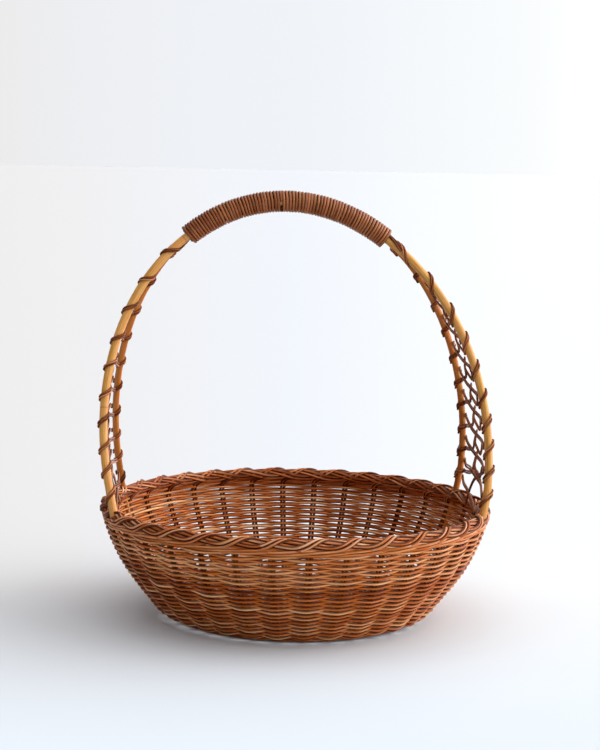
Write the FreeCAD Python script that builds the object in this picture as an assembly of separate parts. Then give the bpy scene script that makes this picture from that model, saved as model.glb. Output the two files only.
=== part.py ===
import FreeCAD, Part
import math
import os

os.makedirs("parts", exist_ok=True)

Vector = FreeCAD.Vector
UP = Vector(0, 0, 1)

# Round market basket with a fixed arched handle. Millimetres, +Z up, the handle spans X, front is -Y.
# The origin is on the ground under the middle of the base.

FIT_GAP = 0.3              # free space between a cane and the weave it passes through
JOINT_GAP = 0.3            # free space between one band of weaving and the next

# Side stakes: 34 pairs of canes that leave the base flat, turn up and follow the bowl.
STAKE_PAIRS = 34
STAKE_DIAMETER = 3.0
STAKE_PAIR_SPACING = 3.3
STAKE_START_RADIUS = 96.0
STAKE_TOP_Z = 105.0
BASE_MID_Z = 7.0
UPSETT_RADIUS = 12.0       # bend where the stakes turn up out of the base
WALL_ARC_RADIUS = 180.0    # the bowl's wall, from WALL_ARC_START_Z up
WALL_ARC_CENTRE_R = 17.0
WALL_ARC_CENTRE_Z = 147.5
WALL_ARC_START_Z = 36.0

# Weaving round the stakes.
WEAVE_THICKNESS = 7.6
WALE_THICKNESS = 10.4
SIDE_SPLIT_Z = (36.0, 64.0)
WALE_BOTTOM_Z = 94.0
WALE_TOP_Z = 101.0

# Border that closes the rim.
BORDER_MID_RADIUS = 189.3
BORDER_WIDTH = 13.0
BORDER_BOTTOM_Z = WALE_TOP_Z + JOINT_GAP
BORDER_TOP_Z = 114.0
BORDER_ROUNDING = 4.5

# Base: two crossing sets of sticks that fan out to 34 ends, woven over in two rings.
STICKS_LOWER = 9
STICKS_UPPER = 8
STICK_DIAMETER = 3.2
STICK_SPACING = 3.5
STICK_LAYER_OFFSET = 1.75
STICK_END_RADIUS = 121.0
STICK_FAN_RADIUS = 28.0
STICK_STRAIGHT_HALF = 11.5
BASE_INNER_RADIUS = 30.0
BASE_SPLIT_RADIUS = 88.0
FOOT_RING_RADIUS = 121.0
FOOT_RING_WIDTH = 8.0
FOOT_RING_ROUNDING = 1.2

# Handle: two bent canes near one elliptical arch, close together under the grip, apart at the rim.
# Below the grip the front rod (side -1) bows out past the ellipse and the thinner back rod (side 1) stays inside it.
ROD_DIAMETER = {-1: 8.0, 1: 6.6}
ARCH_HALF_WIDTH = 188.0
ARCH_HALF_HEIGHT = 241.0
ARCH_CENTRE_Z = 175.0
ARCH_LEAN = 0.055          # the handle leans this much towards -X for each mm of height
LEAN_START_Z = 136.0
GRIP_HALF_ANGLE = 31.6     # the bound grip, in degrees of the ellipse's parameter
FRONT_ROD_BOW_OUT = 3.4
BACK_ROD_BOW_IN = 7.6
ROD_GRIP_Y = 4.3
ROD_RIM_Y = {-1: 63.5, 1: 77.0}
ROD_RIM_Z = 100.0
ROD_TIP_Z = 60.0
ROD_TIP_DIAMETER = 3.2
ROD_SCARF_DIAMETER = 5.6

# Grip: two filler canes beside the rods and three lengths of close binding round them all.
FILLER_DIAMETER = 5.0
FILLER_OFFSET = 5.3
BINDING_INNER_RADIUS = 8.8
BINDING_OUTER_RADIUS = 10.4
BINDING_SPLITS = (-19.5, -1.5)

# Lacing between the two rods, a doubled thin strand, ten turns on each rod at each side.
LACE_DIAMETER = 2.0
LACE_TURNS = 10
# Height of the lowest turn for each leg, and how the rungs slope: rise above the turns at the back and at the front.
LACE_FIRST_Z = {("left", -1): 130.0, ("left", 1): 122.0, ("right", -1): 127.5, ("right", 1): 133.0}
LACE_PITCH = 23.3
LACE_PITCH_GROWTH = 0.35
RUNG_RISE = {"left": (-3.0, 4.0), "right": (15.0, 3.0)}
LACE_PAIR_SPACING = 2.3
LACE_TILT = 28.0
LACE_CLEARANCE = 0.2
RUNG_CLEARANCE = 2.0       # free space between a rung's end and the turns round the rod
RUNG_MIN_LENGTH = 16.0
LINK_MIN_LENGTH = 20.0
LINK_OFFSET = 2.4
# A link strand zigzags over the cell between two back turns: (across from the back rod, up from the turn).
LINK_SHAPE = ((0.06, 0.10), (0.30, 0.26), (0.40, 0.50), (0.49, 0.94), (0.62, 0.30), (0.70, 0.76), (0.80, 0.96))


def wall_angle(z):
    """Angle of the stakes from vertical at height z."""
    return math.asin((WALL_ARC_CENTRE_Z - max(z, WALL_ARC_START_Z)) / WALL_ARC_RADIUS)


def wall_radius(z):
    """Radius of the stakes' centre line at height z, above the upsett bend."""
    if z >= WALL_ARC_START_Z:
        return WALL_ARC_CENTRE_R + math.sqrt(WALL_ARC_RADIUS ** 2 - (WALL_ARC_CENTRE_Z - z) ** 2)
    return wall_radius(WALL_ARC_START_Z) - (WALL_ARC_START_Z - z) * math.tan(wall_angle(z))


def radial_point(radius, z):
    return Vector(radius, 0, z)


def arc_edge(centre, radius, start_deg, end_deg):
    """Arc in the XZ plane, angles measured from +X towards +Z."""
    mid_deg = (start_deg + end_deg) / 2
    points = [centre + Vector(radius * math.cos(math.radians(a)), 0, radius * math.sin(math.radians(a)))
              for a in (start_deg, mid_deg, end_deg)]
    return Part.Arc(*points).toShape()


def stake_edges(offset, start_radius, top_z):
    """Stake centre line in the XZ plane, moved sideways by offset (positive is outside and below)."""
    slope_deg = 90 - math.degrees(wall_angle(0))
    upsett_end_z = BASE_MID_Z + UPSETT_RADIUS * (1 - math.cos(math.radians(slope_deg)))
    upsett_start_r = wall_radius(upsett_end_z) - UPSETT_RADIUS * math.sin(math.radians(slope_deg))
    upsett_centre = radial_point(upsett_start_r, BASE_MID_Z + UPSETT_RADIUS)
    wall_centre = radial_point(WALL_ARC_CENTRE_R, WALL_ARC_CENTRE_Z)
    top_deg = -math.degrees(wall_angle(top_z))
    upsett = arc_edge(upsett_centre, UPSETT_RADIUS + offset, -90, slope_deg - 90)
    wall = arc_edge(wall_centre, WALL_ARC_RADIUS + offset, slope_deg - 90, top_deg)
    flat = Part.makeLine(radial_point(start_radius, BASE_MID_Z - offset), upsett.firstVertex().Point)
    slope = Part.makeLine(upsett.lastVertex().Point, wall.firstVertex().Point)
    return [flat, upsett, slope, wall]


def stake_band(thickness, start_radius, top_z):
    """Face in the XZ plane: a strip of the given thickness along the stakes' centre line."""
    outer = stake_edges(thickness / 2, start_radius, top_z)
    inner = stake_edges(-thickness / 2, start_radius, top_z)
    foot = Part.makeLine(outer[0].firstVertex().Point, inner[0].firstVertex().Point)
    head = Part.makeLine(outer[-1].lastVertex().Point, inner[-1].lastVertex().Point)
    return Part.Face(Part.Wire(Part.sortEdges(outer + inner + [foot, head])[0]))


def turned(shape, degrees):
    copy = shape.copy()
    copy.rotate(Vector(0, 0, 0), UP, degrees)
    return copy


def ring_copies(shape, count, start_deg):
    return [turned(shape, start_deg + i * 360.0 / count) for i in range(count)]


def curve_through(points):
    curve = Part.BSplineCurve()
    curve.interpolate(points)
    return curve


def round_profile(curve, parameter, radius):
    point = curve.value(parameter)
    tangent = Vector(*curve.tangent(parameter)[0])
    return Part.Wire(Part.makeCircle(radius, point, tangent))


def tube_along(points, radius):
    """Solid round cane of constant radius along a smooth curve through the points."""
    curve = curve_through(points)
    spine = Part.Wire(curve.toShape())
    return spine.makePipeShell([round_profile(curve, curve.FirstParameter, radius)], True, False)


def bent_strand(points, radius):
    """Solid round strand of straight lengths with ball-shaped bends."""
    lengths = [Part.makeCylinder(radius, a.distanceToPoint(b), a, b.sub(a)) for a, b in zip(points, points[1:])]
    bends = [Part.makeSphere(radius, p) for p in points[1:-1]]
    return lengths[0].multiFuse(lengths[1:] + bends).removeSplitter()


def annulus(inner, outer, bottom, top):
    return Part.makeCylinder(outer, top - bottom, Vector(0, 0, bottom)).cut(
        Part.makeCylinder(inner, top - bottom, Vector(0, 0, bottom)))


def rounded_ring(mid_radius, width, bottom, top, rounding):
    ring = annulus(mid_radius - width / 2, mid_radius + width / 2, bottom, top)
    circles = [e for e in ring.Edges if isinstance(e.Curve, Part.Circle)]
    return ring.makeFillet(rounding, circles)


def export(name, solids):
    shape = solids[0] if len(solids) == 1 else Part.makeCompound(solids)
    shape.exportStep(os.path.join("parts", name + ".step"))


# ---- side stakes and bye stakes ----

pair_step_deg = 360.0 / STAKE_PAIRS
stake_wire = Part.Wire(stake_edges(0, STAKE_START_RADIUS, STAKE_TOP_Z))
stake_profile = Part.Wire(Part.makeCircle(STAKE_DIAMETER / 2, radial_point(STAKE_START_RADIUS, BASE_MID_Z),
                                          Vector(1, 0, 0)))
stake = stake_wire.makePipeShell([stake_profile], True, False)
side_stake = stake.translated(Vector(0, STAKE_PAIR_SPACING / 2, 0))
bye_stake = stake.translated(Vector(0, -STAKE_PAIR_SPACING / 2, 0))
first_pair_deg = pair_step_deg / 2
export("side_stakes", ring_copies(side_stake, STAKE_PAIRS, first_pair_deg))
export("bye_stakes", ring_copies(bye_stake, STAKE_PAIRS, first_pair_deg))

slot_width = STAKE_PAIR_SPACING + STAKE_DIAMETER + 2 * FIT_GAP
slot_face = stake_band(STAKE_DIAMETER + 2 * FIT_GAP, STAKE_START_RADIUS - FIT_GAP, STAKE_TOP_Z + FIT_GAP)
slot = slot_face.translated(Vector(0, -slot_width / 2, 0)).extrude(Vector(0, slot_width, 0))
slots = Part.makeCompound(ring_copies(slot, STAKE_PAIRS, first_pair_deg))


# ---- handle rods ----

def arch_point(parameter_deg, normal_offset, y):
    """Point on the leaning ellipse of the arch. Parameter 0 is the top and is positive towards +X."""
    t = math.radians(parameter_deg)
    tangent = Vector(ARCH_HALF_WIDTH * math.cos(t), 0, -ARCH_HALF_HEIGHT * math.sin(t))
    tangent.normalize()
    x = ARCH_HALF_WIDTH * math.sin(t) - tangent.z * normal_offset
    z = ARCH_CENTRE_Z + ARCH_HALF_HEIGHT * math.cos(t) + tangent.x * normal_offset
    return Vector(x - ARCH_LEAN * max(z - LEAN_START_Z, 0), y, z)


def arch_parameter(z):
    return math.degrees(math.acos((z - ARCH_CENTRE_Z) / ARCH_HALF_HEIGHT))


def below_grip(z):
    """0 at the grip and above it, 1 at the rim and below it."""
    grip_z = arch_point(GRIP_HALF_ANGLE, 0, 0).z
    return min(max((grip_z - z) / (grip_z - ROD_RIM_Z), 0), 1)


def rod_bow(z, side_y):
    """How far a rod's leg stands outside the ellipse."""
    if side_y < 0:
        return FRONT_ROD_BOW_OUT * math.sin(math.pi * below_grip(z) ** 0.7)
    return -BACK_ROD_BOW_IN * math.sin(0.75 * math.pi * below_grip(z))


def rod_half_width(z, side_y):
    return ARCH_HALF_WIDTH * math.sin(math.radians(arch_parameter(z))) + rod_bow(z, side_y)


def rod_y(z, side_y):
    """Distance of a rod from the middle plane: follows the wall below the rim, closes in above it."""
    rim_y = ROD_RIM_Y[side_y]
    if z < ROD_RIM_Z:
        drop = wall_radius(ROD_RIM_Z) - math.hypot(rod_half_width(ROD_RIM_Z, side_y), rim_y)
        return math.sqrt((wall_radius(z) - drop) ** 2 - rod_half_width(z, side_y) ** 2)
    return ROD_GRIP_Y + (rim_y - ROD_GRIP_Y) * below_grip(z)


def rod_point(parameter_deg, side_y):
    point = arch_point(parameter_deg, 0, 0)
    bow = rod_bow(point.z, side_y) * math.copysign(1, parameter_deg)
    return point + Vector(bow, side_y * rod_y(point.z, side_y), 0)


def handle_rod(side_y, grow):
    """One bent cane: full round above the wale, whittled to a thin point inside the wall."""
    shoulder_deg = arch_parameter(BORDER_BOTTOM_Z)
    tip_deg = arch_parameter(ROD_TIP_Z)
    step_count = 24
    bow = [rod_point(-shoulder_deg + i * 2 * shoulder_deg / step_count, side_y) for i in range(step_count + 1)]
    solids = [tube_along(bow, ROD_DIAMETER[side_y] / 2 + grow)]
    for side_x in (-1, 1):
        leg = [rod_point(side_x * (shoulder_deg + i * (tip_deg - shoulder_deg) / 4), side_y) for i in range(5)]
        curve = curve_through(leg)
        spine = Part.Wire(curve.toShape())
        ends = [round_profile(curve, curve.FirstParameter, ROD_SCARF_DIAMETER / 2 + grow),
                round_profile(curve, curve.LastParameter, ROD_TIP_DIAMETER / 2 + grow)]
        solids.append(spine.makePipeShell(ends, True, False))
        neck = Part.makeSphere(ROD_SCARF_DIAMETER / 2 + grow, leg[0])
        solids.append(neck)
    return solids[0].multiFuse(solids[1:]).removeSplitter()


rod_holes = []
for rod_name, rod_side in (("handle_rod_front", -1), ("handle_rod_back", 1)):
    export(rod_name, [handle_rod(rod_side, 0)])
    rod_holes.append(handle_rod(rod_side, FIT_GAP))


# ---- woven base ----

def stick_points(fan_deg, sideways, layer_z):
    """Path of one base stick: radial end, straight through the middle beside its neighbours, radial end."""
    span = STICK_END_RADIUS - STICK_FAN_RADIUS
    steps = 4
    near_end = []
    for i in range(steps + 1):
        radius = STICK_END_RADIUS - span * i / steps
        a = math.radians(fan_deg)
        near_end.append(Vector(radius * math.cos(a), radius * math.sin(a), layer_z))
    near_end.append(Vector(STICK_STRAIGHT_HALF, sideways, layer_z))
    far_end = [Vector(-p.x, p.y, p.z) for p in reversed(near_end)]
    return near_end + far_end


def base_sticks(count, layer_z, turn_deg):
    sticks = []
    for i in range(count):
        place = i - (count - 1) / 2
        if place == 0:
            start = Vector(-STICK_END_RADIUS, 0, layer_z)
            stick = Part.makeCylinder(STICK_DIAMETER / 2, 2 * STICK_END_RADIUS, start, Vector(1, 0, 0))
        else:
            path = stick_points(place * pair_step_deg, place * STICK_SPACING, layer_z)
            stick = tube_along(path, STICK_DIAMETER / 2)
        sticks.append(turned(stick, turn_deg))
    return sticks


def stick_tunnels(count, layer_z, turn_deg):
    tunnels = []
    length = STICK_END_RADIUS + FIT_GAP - STICK_FAN_RADIUS
    for i in range(count):
        fan_deg = (i - (count - 1) / 2) * pair_step_deg
        start = Vector(STICK_FAN_RADIUS, 0, layer_z)
        tunnel = Part.makeCylinder(STICK_DIAMETER / 2 + FIT_GAP, length, start, Vector(1, 0, 0))
        tunnels.append(turned(tunnel, turn_deg + fan_deg))
        tunnels.append(turned(tunnel, turn_deg + 180 - fan_deg))
    return tunnels


lower_z = BASE_MID_Z - STICK_LAYER_OFFSET
upper_z = BASE_MID_Z + STICK_LAYER_OFFSET
export("base_sticks_lower", base_sticks(STICKS_LOWER, lower_z, 0))
export("base_sticks_upper", base_sticks(STICKS_UPPER, upper_z, 90))

tunnels = Part.makeCompound(stick_tunnels(STICKS_LOWER, lower_z, 0) + stick_tunnels(STICKS_UPPER, upper_z, 90))
base_bottom_z = BASE_MID_Z - WEAVE_THICKNESS / 2
base_top_z = BASE_MID_Z + WEAVE_THICKNESS / 2
base_edge_radius = stake_edges(0, STAKE_START_RADIUS, STAKE_TOP_Z)[0].lastVertex().Point.x
inner_disc = annulus(BASE_INNER_RADIUS, BASE_SPLIT_RADIUS, base_bottom_z, base_top_z)
outer_disc = annulus(BASE_SPLIT_RADIUS + JOINT_GAP, base_edge_radius, base_bottom_z, base_top_z)
export("base_weave_inner", inner_disc.cut(tunnels).Solids)
export("base_weave_outer", outer_disc.cut(tunnels).cut(slots).Solids)
export("foot_wale", [rounded_ring(FOOT_RING_RADIUS, FOOT_RING_WIDTH, 0, base_bottom_z - JOINT_GAP,
                                  FOOT_RING_ROUNDING)])


# ---- side weaving, top wale and border ----

def wall_ring(thickness, low_z, high_z):
    """Part of the woven wall between two heights, as a turned ring without the stake slots."""
    wall = stake_band(thickness, base_edge_radius - 1, WALE_TOP_Z + 5)
    ring = wall.revolve(Vector(0, 0, 0), UP, 360)
    slab = annulus(base_edge_radius + JOINT_GAP, 260.0, low_z, high_z)
    return ring.common(slab)


bands = (
    ("side_weave_lower", WEAVE_THICKNESS, 0.0, SIDE_SPLIT_Z[0]),
    ("side_weave_middle", WEAVE_THICKNESS, SIDE_SPLIT_Z[0] + JOINT_GAP, SIDE_SPLIT_Z[1]),
    ("side_weave_upper", WEAVE_THICKNESS, SIDE_SPLIT_Z[1] + JOINT_GAP, WALE_BOTTOM_Z),
    ("top_wale", WALE_THICKNESS, WALE_BOTTOM_Z + JOINT_GAP, WALE_TOP_Z),
)
for band_name, thickness, low_z, high_z in bands:
    band = wall_ring(thickness, low_z, high_z).cut(slots)
    for hole in rod_holes:
        band = band.cut(hole)
    export(band_name, band.Solids)

border = rounded_ring(BORDER_MID_RADIUS, BORDER_WIDTH, BORDER_BOTTOM_Z, BORDER_TOP_Z, BORDER_ROUNDING).cut(slots)
for hole in rod_holes:
    border = border.cut(hole)
export("border", border.Solids)


# ---- grip ----

def arch_path(start_deg, end_deg, normal_offset):
    count = 12
    return [arch_point(start_deg + i * (end_deg - start_deg) / count, normal_offset, 0) for i in range(count + 1)]


for filler_name, offset in (("grip_filler_upper", FILLER_OFFSET), ("grip_filler_lower", -FILLER_OFFSET)):
    export(filler_name, [tube_along(arch_path(-GRIP_HALF_ANGLE, GRIP_HALF_ANGLE, offset), FILLER_DIAMETER / 2)])

binding_ends = (-GRIP_HALF_ANGLE,) + BINDING_SPLITS + (GRIP_HALF_ANGLE,)
split_gap_deg = math.degrees(JOINT_GAP / ARCH_HALF_WIDTH)
for i, part_name in enumerate(("grip_binding_left", "grip_binding_middle", "grip_binding_right")):
    path = arch_path(binding_ends[i] + split_gap_deg, binding_ends[i + 1] - split_gap_deg, 0)
    sheath = tube_along(path, BINDING_OUTER_RADIUS).cut(tube_along(path, BINDING_INNER_RADIUS))
    export(part_name, sheath.Solids)


# ---- lacing between the rods ----

def lace_parameters(side_name, side_y):
    """Ellipse parameters of one leg's lacing turns, counted upwards, with a slowly growing pitch."""
    first_z = LACE_FIRST_Z[side_name, side_y]
    return [arch_parameter(first_z + LACE_PITCH * k + LACE_PITCH_GROWTH * k * k) for k in range(LACE_TURNS)]


def lace_turn(parameter_deg, side_y):
    """Two strands side by side, once round the rod, tilted across it."""
    centre = rod_point(parameter_deg, side_y)
    tangent = rod_point(parameter_deg + 0.5, side_y).sub(rod_point(parameter_deg - 0.5, side_y))
    tangent.normalize()
    minor = ROD_DIAMETER[side_y] / 2 + LACE_DIAMETER / 2 + LACE_CLEARANCE
    major = minor / math.cos(math.radians(LACE_TILT))
    across = tangent.cross(Vector(0, 1, 0))
    across.normalize()
    tilted = FreeCAD.Rotation(across.cross(tangent), LACE_TILT).multVec(across)
    strands = []
    for shift in (-LACE_PAIR_SPACING / 2, LACE_PAIR_SPACING / 2):
        middle = centre + tangent * (shift / math.cos(math.radians(LACE_TILT)))
        loop = Part.Ellipse(middle + tilted * major, middle + across.cross(tangent) * minor, middle)
        start = loop.value(0)
        along = Vector(*loop.tangent(0)[0])
        profile = Part.Wire(Part.makeCircle(LACE_DIAMETER / 2, start, along))
        strands.append(Part.Wire(loop.toShape()).makePipeShell([profile], True, True))
    return strands


def clear_of_rod(side_y):
    """Distance from a rod's centre line that is free of the rod and of the turns round it."""
    return ROD_DIAMETER[side_y] / 2 + LACE_DIAMETER + RUNG_CLEARANCE


def leg_direction(parameter_deg):
    leg = arch_point(parameter_deg - 0.5, 0, 0).sub(arch_point(parameter_deg + 0.5, 0, 0))
    return leg.normalize()


def raised(parameter_deg, rise):
    """Ellipse parameter of the place this much higher on the same leg."""
    return math.copysign(arch_parameter(arch_point(parameter_deg, 0, 0).z + rise), parameter_deg)


def rung(back_deg, front_deg, back_rise, front_rise):
    """Two straight strands from rod to rod."""
    back = rod_point(raised(back_deg, back_rise), 1)
    front = rod_point(raised(front_deg, front_rise), -1)
    if back.y - front.y - clear_of_rod(1) - clear_of_rod(-1) < RUNG_MIN_LENGTH:
        return []
    direction = front.sub(back)
    length = direction.Length - clear_of_rod(1) - clear_of_rod(-1)
    direction.normalize()
    strands = []
    for shift in (-LACE_PAIR_SPACING / 2, LACE_PAIR_SPACING / 2):
        start = back + direction * clear_of_rod(1) + leg_direction(back_deg) * shift
        strands.append(Part.makeCylinder(LACE_DIAMETER / 2, length, start, direction))
    return strands


def panel_point(parameter_deg, across, normal_offset):
    """Point between the two rods: across is 0 beside the back rod and 1 beside the front rod."""
    back = rod_point(parameter_deg, 1)
    span = rod_point(parameter_deg, -1).sub(back)
    free = span.Length - clear_of_rod(1) - clear_of_rod(-1)
    outward = arch_point(parameter_deg, normal_offset, 0).sub(arch_point(parameter_deg, 0, 0))
    return back + span.normalize() * (clear_of_rod(1) + free * across) + outward


def link(low_deg, high_deg):
    """Two zigzag strands over the cell between two turns, one on each face of the rungs."""
    if rod_point(high_deg, 1).y - rod_point(high_deg, -1).y - clear_of_rod(1) - clear_of_rod(-1) < LINK_MIN_LENGTH:
        return []
    strands = []
    for offset in (-LINK_OFFSET, LINK_OFFSET):
        path = [panel_point(low_deg + (high_deg - low_deg) * up, across, offset) for across, up in LINK_SHAPE]
        strands.append(bent_strand(path, LACE_DIAMETER / 2))
    return strands


for side_name, side_x in (("left", -1), ("right", 1)):
    turns = {}
    for rod_name, rod_side in (("front", -1), ("back", 1)):
        turns[rod_side] = [side_x * t for t in lace_parameters(side_name, rod_side)]
        loops = [strand for t in turns[rod_side] for strand in lace_turn(t, rod_side)]
        export("lace_turns_" + rod_name + "_" + side_name, loops)
    rungs = [s for back, front in zip(turns[1], turns[-1]) for s in rung(back, front, *RUNG_RISE[side_name])]
    export("lace_rungs_" + side_name, rungs)
    links = [s for low, high in zip(turns[1], turns[1][1:]) for s in link(low, high)]
    export("lace_links_" + side_name, links)
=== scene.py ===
import math
import random

import bpy
import numpy as np
from mathutils import Matrix, Vector


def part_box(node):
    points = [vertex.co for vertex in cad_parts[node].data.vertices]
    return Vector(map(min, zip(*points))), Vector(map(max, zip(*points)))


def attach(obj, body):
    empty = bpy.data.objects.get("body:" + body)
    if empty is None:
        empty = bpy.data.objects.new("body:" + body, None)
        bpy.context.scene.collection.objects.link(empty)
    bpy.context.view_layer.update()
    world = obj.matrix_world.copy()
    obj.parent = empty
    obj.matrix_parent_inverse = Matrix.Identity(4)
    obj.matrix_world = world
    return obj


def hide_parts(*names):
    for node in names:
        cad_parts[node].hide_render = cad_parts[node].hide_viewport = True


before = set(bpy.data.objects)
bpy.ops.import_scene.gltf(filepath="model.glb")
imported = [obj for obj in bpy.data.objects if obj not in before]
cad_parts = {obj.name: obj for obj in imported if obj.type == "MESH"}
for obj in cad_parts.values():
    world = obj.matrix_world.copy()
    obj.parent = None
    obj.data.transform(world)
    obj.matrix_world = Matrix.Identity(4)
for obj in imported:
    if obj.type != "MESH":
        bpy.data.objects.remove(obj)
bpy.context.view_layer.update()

# Woven round basket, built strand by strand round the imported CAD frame.
# Sizes here are in millimetres, in the CAD frame; a mesh is scaled to metres when it is made.
MM = 0.001
TAU = 2 * math.pi
rng = random.Random(34)

# ---- sizes shared with the CAD ----

STAKE_PAIRS = 34
PAIR_STEP = TAU / STAKE_PAIRS
FIRST_PAIR = PAIR_STEP / 2
STAKE_RADIUS = 1.5
STAKE_PAIR_SPACING = 3.3
STAKE_START_R = 96.0
STAKE_TOP_Z = 104.0
BASE_MID_Z = 7.0
UPSETT_RADIUS = 12.0
WALL_ARC_RADIUS = 180.0
WALL_ARC_CENTRE_R = 17.0
WALL_ARC_CENTRE_Z = 147.5
WALL_ARC_START_Z = 36.0
# The side weaving goes one or two rows higher here than in the CAD, up under the flatter plait.
WALE_BOTTOM_Z = 98.6
RIM_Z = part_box("border")[1].z / MM

STICKS_LOWER = 9
STICKS_UPPER = 8
STICK_RADIUS = 1.6
STICK_SPACING = 3.5
STICK_LAYER_OFFSET = 1.75
STICK_END_R = 121.0
FOOT_R = 121.0

# The front rod (side -1) bows out past the ellipse of the arch; the thinner back rod (side 1)
# stays inside it.
ROD_RADIUS = {-1: 4.1, 1: 3.4}
ARCH_HALF_WIDTH = 188.0
ARCH_HALF_HEIGHT = 241.0
ARCH_CENTRE_Z = 175.0
ARCH_LEAN = 0.055
LEAN_START_Z = 136.0
GRIP_HALF_ANGLE = math.radians(31.6)
FRONT_ROD_BOW_OUT = 3.4
BACK_ROD_BOW_IN = 7.6
ROD_GRIP_Y = 4.3
ROD_RIM_Y = {-1: 63.5, 1: 77.0}
ROD_RIM_Z = 100.0
ROD_TIP_Z = 60.0
ROD_SHOULDER_Z = 101.5
NODE_SPACING = 190.0
FILLER_RADIUS = 2.5
FILLER_OFFSET = 5.3

LACE_RADIUS = 1.02
LACE_PAIR_HALF = 1.15
LACE_TURNS = 10
LACE_FIRST_Z = {(-1, -1): 130.0, (-1, 1): 122.0, (1, -1): 127.5, (1, 1): 133.0}
LACE_PITCH = 23.3
LACE_PITCH_GROWTH = 0.35

# ---- strands: round canes gathered into one mesh ----


def unit(v):
    return v / np.maximum(np.linalg.norm(v, axis=-1, keepdims=True), 1e-9)


def smooth_line(points, per_span=8, closed=False):
    """Catmull-Rom curve through the points."""
    p = np.asarray(points, float)
    if closed:
        p = np.vstack([p[-1], p, p[:2]])
    else:
        p = np.vstack([2 * p[0] - p[1], p, 2 * p[-1] - p[-2]])
    t = np.linspace(0, 1, per_span, endpoint=False)[:, None]
    pieces = []
    for a, b, c, d in zip(p, p[1:], p[2:], p[3:]):
        pieces.append(0.5 * (2 * b + (c - a) * t + (2 * a - 5 * b + 4 * c - d) * t ** 2
                             + (3 * b - a - 3 * c + d) * t ** 3))
    if not closed:
        pieces.append(p[-2:-1])
    return np.vstack(pieces)


def carried_normals(tangents, first):
    """Normals carried along a line's tangents with as little twist as possible."""
    normal = first - np.dot(first, tangents[0]) * tangents[0]
    normals = []
    for t in tangents:
        normal = normal - np.dot(normal, t) * t
        normal = normal / max(np.linalg.norm(normal), 1e-9)
        normals.append(normal)
    return np.array(normals)


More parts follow.
